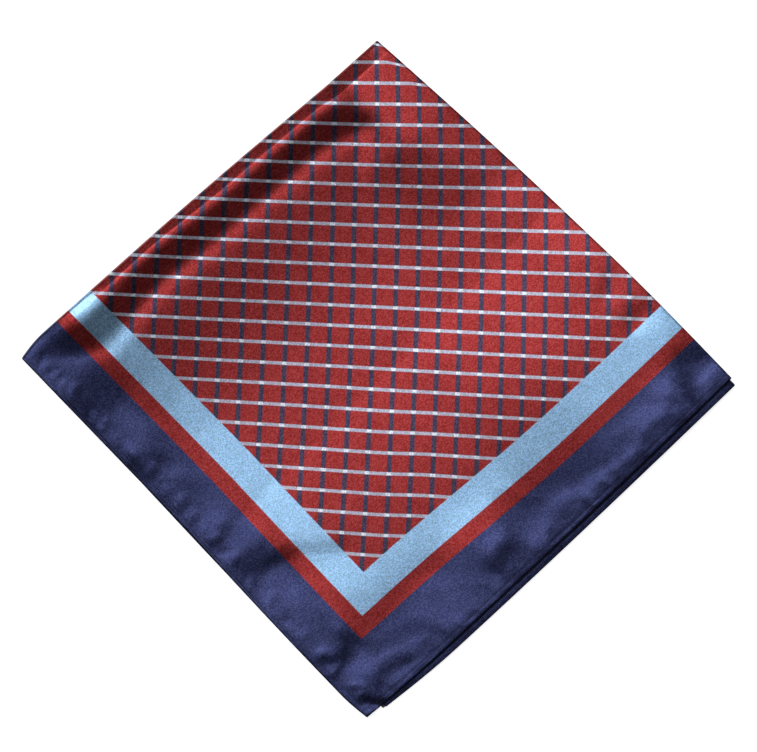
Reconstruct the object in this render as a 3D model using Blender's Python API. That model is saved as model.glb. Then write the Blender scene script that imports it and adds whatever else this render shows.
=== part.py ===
"""A square satin neckerchief, folded twice into quarters and laid flat.

Units are metres and +Z is up. +Y points to the folded corner, which is the middle of
the cloth, and the four hemmed corners lie at -Y. The cloth is one closed sheet. It is
folded once along the edge that lies at the upper right, and the doubled cloth is then
folded once more, more softly, along the edge that lies at the upper left.

The layers are numbered from the surface up. Layers 4 and 1 are the outer pair at the
second fold, layers 3 and 2 the inner pair. Layers 4 and 3 are the upper pair.
"""

import math
from typing import NamedTuple

import bpy
import numpy as np

MM = 0.001

# The cloth
HALF_SIDE = 250 * MM
SHEET_THICKNESS = 1.0 * MM
HALF_THICKNESS = SHEET_THICKNESS / 2
HEM_WIDTH = 3.0 * MM
STITCH_GROOVE_DEPTH = 0.22 * MM
STITCH_GROOVE_HALF_WIDTH = 1.2 * MM
ROLLED_EDGE_THICKNESS = 0.7 * MM
ROLLED_EDGE_WIDTH = 1.4 * MM

# The stack of four layers, measured between the middles of the sheets
LAYER_SPACING = 1.45 * MM
STACK_HEIGHT = 3 * LAYER_SPACING

# The two folds, and how far each reaches past the flat cloth beside it. The second fold
# turns the doubled cloth, so the outer layer's turn is wider and the inner one's tighter.
FIRST_FOLD_RADIUS = LAYER_SPACING / 2
SECOND_FOLD_RADIUS = LAYER_SPACING
WIDEST_RADIUS = SECOND_FOLD_RADIUS + FIRST_FOLD_RADIUS
FIRST_FOLD_REACH = FIRST_FOLD_RADIUS + HALF_THICKNESS
SECOND_FOLD_REACH = WIDEST_RADIUS + HALF_THICKNESS
QUARTER_TURN = math.pi / 2

# Grid lines: the step beside a fold, and the widest step further in
UPPER_FIRST_STEP = 4.0 * MM
UPPER_WIDEST_STEP = 13.0 * MM
UNDER_FIRST_STEP = 7.0 * MM
UNDER_WIDEST_STEP = 19.0 * MM
STEP_GROWTH = 1.18
FOLD_SEGMENTS = 5
HEM_FOOT_WIDTH = 5.0 * MM
NORMAL_STEP = 0.001 * MM
SMOOTH_SHADING_LIMIT = math.radians(50)

# The print's mean colour, as one plain finish
CLOTH_COLOUR = (0.20, 0.035, 0.06, 1.0)
CLOTH_ROUGHNESS = 0.4

# Corners seen from above, in mm
FOLDED_CORNER = np.array([-0.5, 172.6])
RIGHT_CORNER_UPPER = np.array([180.4, 0.2])
RIGHT_CORNER_LOWER = np.array([182.3, -3.3])
LEFT_CORNER_OUTER = np.array([-181.9, 10.4])
LEFT_CORNER_INNER = np.array([-180.6, 10.8])
OPEN_CORNER = {
    4: np.array([-5.6, -172.9]),
    3: np.array([-5.0, -171.6]),
    2: np.array([4.1, -167.5]),
    1: np.array([2.6, -168.2]),
}


class Bow(NamedTuple):
    """How an edge swells outwards, by a height in mm that is reached between two places along it.

    The places run from 0 at the edge's start to 1 at its end.
    """

    height: float
    starts: float
    full_from: float
    full_to: float


# The two folds start at the folded corner
FIRST_FOLD_BOW = {
    "upper": Bow(height=2.7, starts=0.0, full_from=0.5, full_to=0.62),
    "lower": Bow(height=1.8, starts=0.0, full_from=0.5, full_to=0.62),
}
SECOND_FOLD_BOW = {
    "outer": Bow(height=2.4, starts=0.15, full_from=0.65, full_to=0.93),
    "inner": Bow(height=2.1, starts=0.15, full_from=0.65, full_to=0.90),
}
# The hem on the right starts at the right corner, the hem on the left at the left corner
RIGHT_HEM_BOW = {
    4: Bow(height=1.7, starts=0.0, full_from=0.6, full_to=0.8),
    3: Bow(height=2.2, starts=0.0, full_from=0.6, full_to=0.8),
    2: Bow(height=2.5, starts=0.0, full_from=0.76, full_to=0.8),
    1: Bow(height=2.3, starts=0.0, full_from=0.7, full_to=0.8),
}
LEFT_HEM_BOW = {
    4: Bow(height=1.6, starts=0.45, full_from=0.88, full_to=0.93),
    3: Bow(height=2.3, starts=0.12, full_from=0.75, full_to=0.92),
    2: Bow(height=0.6, starts=0.1, full_from=0.5, full_to=0.8),
    1: Bow(height=0.2, starts=0.1, full_from=0.5, full_to=0.8),
}


class Crease(NamedTuple):
    """A soft ridge, or a trough where the height is negative, along a short line.

    Each end is given as its share of the way along the first fold and along the second.
    Half width and height are in mm.
    """

    start: tuple
    end: tuple
    half_width: float
    height: float


CREASES = {
    "roll of the second fold": Crease((0.042, 0.24), (0.042, 0.92), 5.5, 3.0),
    "roll where it leaves the fold": Crease((0.085, 0.08), (0.050, 0.17), 6.0, 1.3),
    "foot of the roll": Crease((0.105, 0.20), (0.100, 0.90), 5.0, -0.7),
    "swell past the foot": Crease((0.145, 0.30), (0.140, 0.88), 7.0, 0.6),
    "dent at the left corner": Crease((0.060, 0.935), (0.120, 0.955), 8.0, -1.2),
    "dent at the right corner": Crease((0.900, 0.040), (0.860, 0.070), 7.0, -0.9),
    "ridge to the right corner": Crease((0.975, 0.030), (0.915, 0.130), 5.0, 1.6),
    "wave on the right hem": Crease((0.970, 0.180), (0.900, 0.230), 7.0, 0.7),
    "upper wave on the left hem": Crease((0.150, 0.900), (0.160, 0.990), 7.0, 1.0),
    "middle wave on the left hem": Crease((0.340, 0.900), (0.370, 0.990), 8.0, 1.1),
    "lower wave on the left hem": Crease((0.560, 0.900), (0.600, 0.990), 9.0, 0.9),
    "ridge to the open corner": Crease((0.900, 0.880), (0.965, 0.940), 6.0, 1.5),
    "dent at the open corner": Crease((0.985, 0.940), (0.950, 0.985), 4.5, -1.2),
    "long swell across the check": Crease((0.300, 0.250), (0.700, 0.450), 45.0, 0.5),
}
RESTING_RELIEF = 0.5
RELIEF_SOFTNESS = 0.3


def blend(low, high, share):
    """A mix of two values or points, by the share of the second."""
    return low + (high - low) * share


def blend_layers(by_layer, upper, outer):
    """A mix of the four layers' values, by how upper and how outer each place is."""
    upper_pair = blend(by_layer[3], by_layer[4], outer)
    lower_pair = blend(by_layer[2], by_layer[1], outer)
    return blend(lower_pair, upper_pair, upper)


def smooth_step(share):
    """Eases from 0 to 1: the bottom layer stays flat and the top one takes the whole relief."""
    share = np.clip(share, 0, 1)
    return share**2 * (3 - 2 * share)


def swell(bow, place):
    """The height of a bow at each place along its edge, in mm."""
    rise = np.clip((place - bow.starts) / (bow.full_from - bow.starts), 0, 1)
    fall = np.clip((1 - place) / (1 - bow.full_to), 0, 1)
    return bow.height * np.sin(rise * QUARTER_TURN) * np.sin(fall * QUARTER_TURN)


def first_fold(t):
    """Where each place goes at the first fold: in the fold's plane, and out of it."""
    arc_end = FIRST_FOLD_RADIUS * QUARTER_TURN
    angle = np.clip(t / FIRST_FOLD_RADIUS, -QUARTER_TURN, QUARTER_TURN)
    along = np.maximum(np.abs(t) - arc_end, 0) - FIRST_FOLD_RADIUS * np.cos(angle)
    height = FIRST_FOLD_RADIUS * np.sin(angle)
    return along, height


def second_fold(s, height):
    """Where each place goes at the second fold. The outer layer takes the wider turn."""
    radius = SECOND_FOLD_RADIUS + height
    arc_end = radius * QUARTER_TURN
    angle = np.clip(s / radius, -QUARTER_TURN, QUARTER_TURN)
    along = np.maximum(np.abs(s) - arc_end, 0) - radius * np.cos(angle)
    upper = (1 + np.sin(angle)) / 2
    return along, radius * np.sin(angle), upper


def outward(start, end):
    """The unit vector square to an edge of the folded cloth, pointing away from its middle."""
    along = (end - start) / np.linalg.norm(end - start)
    square = np.array([along[1], -along[0]])
    if np.dot(square, start) < 0:
        square = -square
    return square


def footprint(right, down, upper, outer):
    """Where each place lies on the surface, in mm, from its share of the way across.

    right is 0 at the second fold and 1 at the right hem. down is 0 at the first fold and
    1 at the left hem.
    """
    upper_xy = upper[..., None]
    outer_xy = outer[..., None]
    right_corner = blend(RIGHT_CORNER_LOWER, RIGHT_CORNER_UPPER, upper_xy)
    left_corner = blend(LEFT_CORNER_INNER, LEFT_CORNER_OUTER, outer_xy)
    open_corner = blend_layers(OPEN_CORNER, upper_xy, outer_xy)
    near = blend(FOLDED_CORNER, right_corner, right[..., None])
    far = blend(left_corner, open_corner, right[..., None])
    flat = blend(near, far, down[..., None])

    first_bow = blend(
        swell(FIRST_FOLD_BOW["lower"], right), swell(FIRST_FOLD_BOW["upper"], right), upper
    )
    second_bow = blend(
        swell(SECOND_FOLD_BOW["inner"], down), swell(SECOND_FOLD_BOW["outer"], down), outer
    )
    right_bow = blend_layers(
        {layer: swell(bow, down) for layer, bow in RIGHT_HEM_BOW.items()}, upper, outer
    )
    left_bow = blend_layers(
        {layer: swell(bow, right) for layer, bow in LEFT_HEM_BOW.items()}, upper, outer
    )
    for bow, weight, start, end in (
        (first_bow, 1 - down, FOLDED_CORNER, RIGHT_CORNER_UPPER),
        (second_bow, 1 - right, FOLDED_CORNER, LEFT_CORNER_OUTER),
        (right_bow, right, RIGHT_CORNER_UPPER, OPEN_CORNER[4]),
        (left_bow, down, LEFT_CORNER_OUTER, OPEN_CORNER[4]),
    ):
        flat = flat + outward(start, end) * (bow * weight)[..., None]
    return flat


def crease_end(share):
    """The point on the top layer at a crease's end, in mm."""
    right, down = (np.array(value) for value in share)
    top = np.array(1.0)
    return footprint(right, down, upper=top, outer=top)


def relief(points):
    """How far the top layer rises above the flat fold at each point, in mm."""
    height = np.full(points.shape[:-1], RESTING_RELIEF)
    for crease in CREASES.values():
        start = crease_end(crease.start)
        span = crease_end(crease.end) - start
        along = np.clip(((points - start) @ span) / (span @ span), 0, 1)
        distance = np.linalg.norm(points - start - along[..., None] * span, axis=-1)
        height = height + crease.height * np.exp(-((distance / crease.half_width) ** 2))
    return (height + np.sqrt(height**2 + RELIEF_SOFTNESS**2)) / 2


def middle_surface(s, t):
    """The middle of the sheet, in metres, at distances s and t from the two fold lines."""
    down_along, offset = first_fold(t)
    right_along, level, upper = second_fold(s, offset)
    outer = 0.5 + offset / LAYER_SPACING

    right_length = HALF_SIDE - (SECOND_FOLD_RADIUS + offset) * QUARTER_TURN + SECOND_FOLD_REACH
    down_length = HALF_SIDE - FIRST_FOLD_RADIUS * QUARTER_TURN + FIRST_FOLD_REACH
    right = (right_along + SECOND_FOLD_REACH) / right_length
    down = (down_along + FIRST_FOLD_REACH) / down_length
    flat = footprint(right, down, upper, outer)

    stack = STACK_HEIGHT / 2 + level
    lifted = smooth_step(stack / STACK_HEIGHT)
    height = HALF_THICKNESS + stack + lifted * relief(flat) * MM
    return np.concatenate([flat * MM, height[..., None]], axis=-1)


def normals(s, t):
    """The unit normal of the middle surface, on the printed side."""
    across = middle_surface(s + NORMAL_STEP, t) - middle_surface(s - NORMAL_STEP, t)
    down = middle_surface(s, t + NORMAL_STEP) - middle_surface(s, t - NORMAL_STEP)
    normal = np.cross(down, across)
    return normal / np.linalg.norm(normal, axis=-1, keepdims=True)


def printed_half_thickness(s, t):
    """The printed side's distance from the middle: on top it has the hem's groove and roll."""
    inset = HALF_SIDE - np.maximum(np.abs(s), np.abs(t))
    groove = np.exp(-(((inset - HEM_WIDTH) / STITCH_GROOVE_HALF_WIDTH) ** 2))
    rolled = np.clip(1 - inset / ROLLED_EDGE_WIDTH, 0, 1)
    lost = STITCH_GROOVE_DEPTH * groove + (SHEET_THICKNESS - ROLLED_EDGE_THICKNESS) * rolled
    top_layer = (s > 0) & (t > 0)
    return HALF_THICKNESS - np.where(top_layer, lost, 0)


def fold_lines(turn_end):
    """Grid lines across a fold, evenly over its turn."""
    return [turn_end * (2 * i / FOLD_SEGMENTS - 1) for i in range(FOLD_SEGMENTS + 1)]


def field_lines(start, first_step, widest_step):
    """Grid lines from the end of a fold's turn to the foot of the hem, wider further in."""
    end = HALF_SIDE - HEM_FOOT_WIDTH
    steps = []
    step = first_step
    while sum(steps) < end - start:
        steps.append(step)
        step = min(step * STEP_GROWTH, widest_step)
    stretch = (end - start) / sum(steps)
    return [start + stretch * sum(steps[: i + 1]) for i in range(len(steps))]


def grid_lines(turn_end):
    """All grid lines from one hem to the other, finer in the layers that show."""
    upper = field_lines(turn_end, UPPER_FIRST_STEP, UPPER_WIDEST_STEP)
    upper += [HALF_SIDE - HEM_WIDTH, HALF_SIDE - ROLLED_EDGE_WIDTH, HALF_SIDE]
    under = field_lines(turn_end, UNDER_FIRST_STEP, UNDER_WIDEST_STEP) + [HALF_SIDE]
    return np.array([-line for line in reversed(under)] + fold_lines(turn_end) + upper)


def sheet_faces(rows, columns):
    """Faces over the printed grid, over the back grid that follows it, and around the rim."""
    printed = np.arange(rows * columns).reshape(rows, columns)
    back = printed + rows * columns
    faces = []
    for i in range(rows - 1):
        for j in range(columns - 1):
            corners = [(i, j), (i + 1, j), (i + 1, j + 1), (i, j + 1)]
            faces.append([int(printed[corner]) for corner in reversed(corners)])
            faces.append([int(back[corner]) for corner in corners])
    rim = [(i, 0) for i in range(rows)]
    rim += [(rows - 1, j) for j in range(1, columns)]
    rim += [(i, columns - 1) for i in range(rows - 2, -1, -1)]
    rim += [(0, j) for j in range(columns - 2, 0, -1)]
    for this, following in zip(rim, rim[1:] + rim[:1]):
        corners = [printed[this], printed[following], back[following], back[this]]
        faces.append([int(corner) for corner in corners])
    return faces


def sheet_mesh(name):
    """The folded sheet as one closed mesh."""
    s_lines = grid_lines(WIDEST_RADIUS * QUARTER_TURN)
    t_lines = grid_lines(FIRST_FOLD_RADIUS * QUARTER_TURN)
    s, t = np.meshgrid(s_lines, t_lines, indexing="ij")
    middle = middle_surface(s, t)
    normal = normals(s, t)
    printed = middle + normal * printed_half_thickness(s, t)[..., None]
    back = middle - normal * HALF_THICKNESS
    points = np.concatenate([printed.reshape(-1, 3), back.reshape(-1, 3)])

    mesh = bpy.data.meshes.new(name)
    mesh.from_pydata(points.tolist(), [], sheet_faces(*s.shape))
    mesh.validate()
    mesh.shade_smooth()
    mesh.set_sharp_from_angle(angle=SMOOTH_SHADING_LIMIT)
    return mesh


def satin():
    """The cloth's finish, in its mean colour."""
    material = bpy.data.materials.new("satin")
    material.use_nodes = True
    shader = material.node_tree.nodes["Principled BSDF"]
    shader.inputs["Base Color"].default_value = CLOTH_COLOUR
    shader.inputs["Roughness"].default_value = CLOTH_ROUGHNESS
    shader.inputs["Metallic"].default_value = 0.0
    return material


def clear_scene():
    """Removes what the new file came with."""
    for obj in list(bpy.data.objects):
        bpy.data.objects.remove(obj, do_unlink=True)


def main():
    clear_scene()
    mesh = sheet_mesh("folded_square")
    mesh.materials.append(satin())
    cloth = bpy.data.objects.new("folded_square", mesh)
    bpy.context.scene.collection.objects.link(cloth)


main()
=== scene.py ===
"""A square satin neckerchief, folded twice into quarters and seen from straight above.

The cloth is one thin closed sheet. Its places are given in millimetres from the middle of
the cloth: s runs along the first fold, at the upper right, and t along the second fold, at
the upper left. The top layer is the quarter where both are positive.
"""

import math
import random
from typing import NamedTuple

import bpy
import numpy as np
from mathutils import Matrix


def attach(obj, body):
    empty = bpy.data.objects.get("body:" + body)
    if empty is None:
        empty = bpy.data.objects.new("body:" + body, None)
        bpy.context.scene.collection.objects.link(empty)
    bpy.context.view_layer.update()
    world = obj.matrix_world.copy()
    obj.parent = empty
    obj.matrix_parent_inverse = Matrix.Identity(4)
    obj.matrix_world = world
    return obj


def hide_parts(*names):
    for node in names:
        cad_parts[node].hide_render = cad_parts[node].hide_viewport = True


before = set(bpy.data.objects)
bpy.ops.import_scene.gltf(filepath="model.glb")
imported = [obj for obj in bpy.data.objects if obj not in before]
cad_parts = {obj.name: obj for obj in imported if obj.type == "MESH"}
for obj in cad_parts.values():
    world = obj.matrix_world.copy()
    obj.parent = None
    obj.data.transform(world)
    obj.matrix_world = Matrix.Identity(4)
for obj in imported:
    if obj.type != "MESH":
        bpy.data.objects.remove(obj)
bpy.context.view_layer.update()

MM = 0.001
SEED = 7

# The cloth, in mm
HALF_SIDE = 250.0
SHEET_THICKNESS = 0.25
HEM_WIDTH = 2.9
HEM_EXTRA_THICKNESS = 0.35
HEM_STEP_WIDTH = 0.5
STITCH_GROOVE_DEPTH = 0.06
STITCH_GROOVE_HALF_WIDTH = 0.6
ROLLED_EDGE_WIDTH = 0.9
ROLLED_EDGE_DROP = 0.22

# The stack of four layers, measured between the middles of the sheets
LAYER_SPACING = 0.95
STACK_HEIGHT = 3 * LAYER_SPACING
LOWEST_HEIGHT = 0.5

# The two folds
FIRST_FOLD_RADIUS = LAYER_SPACING / 2
SECOND_FOLD_RADIUS = LAYER_SPACING
WIDEST_RADIUS = SECOND_FOLD_RADIUS + FIRST_FOLD_RADIUS
FIRST_FOLD_REACH = FIRST_FOLD_RADIUS + SHEET_THICKNESS / 2
SECOND_FOLD_REACH = WIDEST_RADIUS + SHEET_THICKNESS / 2
QUARTER_TURN = math.pi / 2

# Corners seen from above
FOLDED_CORNER = np.array([-0.5, 172.6])
RIGHT_CORNER_UPPER = np.array([180.4, 0.2])
RIGHT_CORNER_LOWER = np.array([182.3, -3.3])
LEFT_CORNER_OUTER = np.array([-181.9, 10.4])
LEFT_CORNER_INNER = np.array([-180.6, 10.8])
OPEN_CORNER = {
    4: np.array([-5.6, -172.9]),
    3: np.array([-5.0, -171.6]),
    2: np.array([4.1, -167.5]),
    1: np.array([2.6, -168.2]),
}


class Bow(NamedTuple):
    """How an edge swells outwards: its height in mm, and where it starts and is full.

    These places are shares of the edge's length.
    """

    height: float
    starts: float
    full_from: float
    full_to: float


FIRST_FOLD_BOW = {
    "upper": Bow(height=2.7, starts=0.0, full_from=0.5, full_to=0.62),
    "lower": Bow(height=1.8, starts=0.0, full_from=0.5, full_to=0.62),
}
SECOND_FOLD_BOW = {
    "outer": Bow(height=2.4, starts=0.15, full_from=0.65, full_to=0.93),
    "inner": Bow(height=2.1, starts=0.15, full_from=0.65, full_to=0.90),
}
RIGHT_HEM_BOW = {
    4: Bow(height=1.7, starts=0.0, full_from=0.6, full_to=0.8),
    3: Bow(height=2.2, starts=0.0, full_from=0.6, full_to=0.8),
    2: Bow(height=2.5, starts=0.0, full_from=0.76, full_to=0.8),
    1: Bow(height=2.3, starts=0.0, full_from=0.7, full_to=0.8),
}
LEFT_HEM_BOW = {
    4: Bow(height=1.6, starts=0.45, full_from=0.88, full_to=0.93),
    3: Bow(height=2.3, starts=0.12, full_from=0.75, full_to=0.92),
    2: Bow(height=0.6, starts=0.1, full_from=0.5, full_to=0.8),
    1: Bow(height=0.2, starts=0.1, full_from=0.5, full_to=0.8),
}

# The wall that rises from the second fold to the crest of the roll beside it. Places along
# a fold are in mm, and places across the wall or the roll are shares of its width
WALL_SLOPE = 0.37
WALL_PLACES = (-0.3, 0, 0.70, 0.77, 0.79, 1.0)
WALL_HEIGHTS = (-0.29, 0.08, 0.905, 0.978, 0.99, 1.0)
WALL_SOFTNESS = 0.03
WALL_FADE_PLACES = (0, 6, 14, 194, 204, 250)
WALL_FADES = (0.6, 0.75, 1.0, 1.0, 0.35, 0.25)
CREST_PLACES = (0, 28, 36, 46, 115, 160, 190, 210, 228, 240, 250)
CREST_DISTANCES = (11.5, 11.5, 11.5, 9.2, 9.1, 6.5, 6.7, 7.8, 7.0, 5.5, 4.5)

# The side of the roll that faces away from the light, down to its foot
DROP_SLOPE = 0.162
DROP_PLACES = (0, 0.09, 0.19, 0.75, 0.88, 1.0, 1.12, 1.31)
DROP_HEIGHTS = (0, 0.02, 0.12, 0.85, 0.96, 1.0, 0.98, 0.94)
DROP_SOFTNESS = 0.05
FOOT_PLACES = (0, 30, 38, 50, 62, 140, 160, 172, 190, 212, 222, 236, 242, 250)
FOOT_DISTANCES = (36, 34, 31, 28.5, 25.5, 25, 23, 22.5, 25, 28, 25, 17, 12, 8)
ROLL_FADE_PLACES = (0, 130, 160, 216, 226, 236, 244, 250)
ROLL_FADES = (1.0, 1.0, 1.08, 1.08, 0.85, 0.32, 0.08, 0.0)

# The slow fall from the roll to the middle of the cloth, and the rise to the right hem
FALL_HEIGHT = 2.4
FALL_PLACES = (0, 30, 55, 70, 85, 97)
FALL_HEIGHTS = (1.0, 1.0, 0.41, 0.16, 0.035, 0.0)
FALL_FADE_PLACES = (0, 110, 150, 200, 250)
FALL_FADES = (0.9, 1.0, 1.3, 1.45, 1.5)
RISE_HEIGHT = 2.4
RISE_PLACES = (90, 115, 128, 155, 170, 185, 198, 250)
RISE_HEIGHTS = (0.0, 0.11, 0.24, 0.62, 0.82, 0.95, 1.0, 1.0)
RISE_FADE_PLACES = (0, 60, 85, 115, 180, 250)
RISE_FADES = (2.8, 2.7, 2.1, 1.25, 0.85, 0.7)
SWEEP_SOFTNESS = 3.0

# The strip beside the first fold, how far its edge droops, and where it gives way to the rest
STRIP_PLACES = (0, 9, 28, 50, 75, 97, 125, 155, 185, 198, 220, 250)
STRIP_HEIGHTS = (3.7, 3.7, 4.2, 4.6, 4.1, 3.6, 4.4, 6.0, 6.8, 6.9, 6.9, 6.7)
STRIP_END_PLACES = (30, 48, 90)
STRIP_ENDS_FROM = (26, 26, 4)
STRIP_ENDS_TO = (40, 66, 90)
DROOP_PLACES = (0, 55, 155, 200, 250)
DROOP_HEIGHTS = (1.0, 1.8, 0.5, 0.5, 0.8)
DROOP_WIDTH = 28.0


class Crease(NamedTuple):
    """A soft ridge, or a trough where the height is negative, along a line on the cloth.

    widths are how far it spreads to the side where s is smaller and to the other side. fade
    is how far it runs on past its ends. All are in mm.
    """

    start: tuple
    end: tuple
    widths: tuple
    height: float
    fade: float = 6.0


CREASES = {
    "pressed crease": Crease((122.5, 0), (126, 110), (9, 9), -0.10),
    "pressed crease, lower half": Crease((126, 118), (135, 245), (9, 9), -0.10),
    "sharp foot of the pressed crease": Crease((122.5, 0), (135, 245), (1.5, 1.5), -0.05),
    "dent on the first fold": Crease((194, 9), (196, 15), (6, 6), -0.4),
    "dent further up the first fold": Crease((174, 10), (176, 14), (6, 6), -0.3),
    "dark spot by the right corner": Crease((234, 3), (232, 9), (9, 17), -1.05, 9),
    "edge beside that spot": Crease((243.5, 0), (240, 22), (3.2, 6), 0.25, 4),
    "swell inside the right hem": Crease((237.5, 30), (238.5, 37), (9, 22), 1.3, 12),
    "line down the right border": Crease((240, 51), (242.5, 57), (4.5, 25), 0.6, 5),
    "middle of that line": Crease((243, 66), (242, 92), (4.5, 25), 0.5, 5),
    "lower end of that line": Crease((238, 103), (241, 126), (5.5, 22), 0.45, 5),
    "soft patch inside that line": Crease((234, 50), (234, 70), (6, 14), 0.3),
    "shade inside the right border": Crease((233, 86), (231, 122), (11, 6), -0.32, 9),
    "faint crease across the bands": Crease((208, 122), (231, 109), (2.5, 2.5), 0.08, 3),
    "bulge below the middle": Crease((233, 138), (232, 146), (8, 7), 0.9, 6),
    "spread of that bulge on the bands": Crease((224, 141), (219, 155), (14, 14), 0.65, 8),
    "plain swell on the right border": Crease((250, 168), (250, 180), (24, 40), 1.35, 22),
    "shade on the red band": Crease((220, 174), (219, 214), (10, 9), -0.4, 8),
    "slanting crease, upper part": Crease((235, 203), (229, 223), (7, 3), -0.3, 5),
    "dent beside the right hem": Crease((243, 214), (241, 226), (4, 3), -0.25, 4),
    "fold at the corner of the bands": Crease((221.5, 228), (225, 237), (8, 5), -0.55, 5),
    "ring beside that fold": Crease((209.5, 227), (214.5, 239), (8, 6), 0.5, 4),
    "bulge of the open corner": Crease((235, 233), (240, 240), (8, 6), 0.35, 5),
    "dent at the open corner": Crease((249, 238), (243, 246), (2.6, 2.8), -0.7, 3),
    "hollow before the first swell": Crease((51, 229), (51, 243), (18, 9), -0.6, 8),
    "first swell on the left border": Crease((77, 234), (77, 241), (12, 14), 0.95, 8),
    "second swell on the left border": Crease((99, 236), (99, 243), (6, 10), 0.45),
    "third swell on the left border": Crease((130, 234), (130, 242), (7, 5.5), 0.5),
    "fourth swell on the left border": Crease((147, 228), (148, 238), (7, 5), 0.35),
    "slanting crease through the bands": Crease((181, 200), (168, 224), (8, 12), -0.4, 8),
    "slanting crease on the border": Crease((166, 229), (162, 242), (8, 19), -1.1, 8),
    "ring on the left border": Crease((206, 228), (196, 228), (4, 4), 0.3, 4),
}

# The puckers that the hem's thread draws in
PUCKER_PITCH = 10.0
PUCKER_UNEVENNESS = 4.0
PUCKER_INSETS = {"left hem": (4.5, 9.0), "right hem": (3.2, 7.5)}
PUCKER_HALF_WIDTH = 1.9
PUCKER_LEAN = 2.5
PUCKER_DEPTHS = (-0.7, 1.0, 1.0)
PUCKER_DEPTH_SPREAD = (0.5, 1.3)
PUCKER_HEIGHT = {"left hem": 0.34, "right hem": 0.24}

# Small unevenness everywhere, as a sum of waves, stronger in the border. WANDER is how far
# the creases stray from straight lines
WAVE_COUNT = 36
WAVE_LENGTHS = (9.0, 26.0)
WAVE_HEIGHT = 0.012
BORDER_WAVE_HEIGHT = 0.05
WANDER = 1.6
WANDER_LENGTHS = (18.0, 45.0)
HEM_CALM_WIDTH = 8.0
HEM_CALM = 0.45

# How far the lower layers rise with the top one, as a share, close to the right hem
LOWER_LIFT = 0.62
LOWER_LIFT_FROM = 205.0

# The top layer's height where nothing lifts it, and how softly it comes down to the fold
RESTING_RELIEF = 0.5
RELIEF_SOFTNESS = 0.3

# Distances between grid lines, and where they change, in mm
FINE_STEP = 0.6
CLOSE_STEP = 1.2
OPEN_STEP = 1.9
DOWN_STEP = 1.6
WALL_END = 11.0
WALL_STEP = 0.5
ROLL_END = 30.0
BORDER_START = 222.0
FIRST_STRIP = 6.0
UNDER_STEP = 7.0
FIRST_FOLD_SEGMENTS = 6
SECOND_FOLD_SEGMENTS = 8
NORMAL_STEP = 0.02
SMOOTH_SHADING_LIMIT = math.radians(50)


def blend(low, high, share):
    """A mix of two values or points, by the share of the second."""
    return low + (high - low) * share


def blend_layers(by_layer, upper, outer):
    """A mix of the four layers' values, by how upper and how outer each place is."""
    upper_pair = blend(by_layer[3], by_layer[4], outer)
    lower_pair = blend(by_layer[2], by_layer[1], outer)
    return blend(lower_pair, upper_pair, upper)


def smooth_step(share):
    """Eases from 0 to 1."""
    share = np.clip(share, 0, 1)
    return share**2 * (3 - 2 * share)


def swell(bow, place):
    """The height of a bow at each place along its edge."""
    rise = np.clip((place - bow.starts) / (bow.full_from - bow.starts), 0, 1)
    fall = np.clip((1 - place) / (1 - bow.full_to), 0, 1)
    return bow.height * np.sin(rise * QUARTER_TURN) * np.sin(fall * QUARTER_TURN)


def first_fold(t):
    """Where each place goes at the first fold: in the fold's plane, and out of it."""
    arc_end = FIRST_FOLD_RADIUS * QUARTER_TURN
    angle = np.clip(t / FIRST_FOLD_RADIUS, -QUARTER_TURN, QUARTER_TURN)
    along = np.maximum(np.abs(t) - arc_end, 0) - FIRST_FOLD_RADIUS * np.cos(angle)
    return along, FIRST_FOLD_RADIUS * np.sin(angle)


def second_fold(s, offset):
    """Where each place goes at the second fold. The outer layer takes the wider turn."""
    radius = SECOND_FOLD_RADIUS + offset
    arc_end = radius * QUARTER_TURN
    angle = np.clip(s / radius, -QUARTER_TURN, QUARTER_TURN)
    along = np.maximum(np.abs(s) - arc_end, 0) - radius * np.cos(angle)
    return along, radius * np.sin(angle), (1 + np.sin(angle)) / 2


def outward(start, end):
    """The unit vector square to an edge of the folded cloth, pointing away from its middle."""
    along = (end - start) / np.linalg.norm(end - start)
    square = np.array([along[1], -along[0]])
    if np.dot(square, start) < 0:
        square = -square
    return square


def footprint(right, down, upper, outer):
    """Where each place lies on the surface, from its share of the way across.

    right is 0 at the second fold and 1 at the right hem. down is 0 at the first fold and
    1 at the left hem.
    """
    upper_xy = upper[..., None]
    outer_xy = outer[..., None]
    right_corner = blend(RIGHT_CORNER_LOWER, RIGHT_CORNER_UPPER, upper_xy)
    left_corner = blend(LEFT_CORNER_INNER, LEFT_CORNER_OUTER, outer_xy)
    open_corner = blend_layers(OPEN_CORNER, upper_xy, outer_xy)
    near = blend(FOLDED_CORNER, right_corner, right[..., None])
    far = blend(left_corner, open_corner, right[..., None])
    flat = blend(near, far, down[..., None])

    first_bow = blend(
        swell(FIRST_FOLD_BOW["lower"], right), swell(FIRST_FOLD_BOW["upper"], right), upper
    )
    second_bow = blend(
        swell(SECOND_FOLD_BOW["inner"], down), swell(SECOND_FOLD_BOW["outer"], down), outer
    )
    right_bow = blend_layers(
        {layer: swell(bow, down) for layer, bow in RIGHT_HEM_BOW.items()}, upper, outer
    )
    left_bow = blend_layers(
        {layer: swell(bow, right) for layer, bow in LEFT_HEM_BOW.items()}, upper, outer
    )
    for bow, weight, start, end in (
        (first_bow, 1 - down, FOLDED_CORNER, RIGHT_CORNER_UPPER),
        (second_bow, 1 - right, FOLDED_CORNER, LEFT_CORNER_OUTER),
        (right_bow, right, RIGHT_CORNER_UPPER, OPEN_CORNER[4]),
        (left_bow, down, LEFT_CORNER_OUTER, OPEN_CORNER[4]),
    ):
        flat = flat + outward(start, end) * (bow * weight)[..., None]
    return flat


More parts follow.
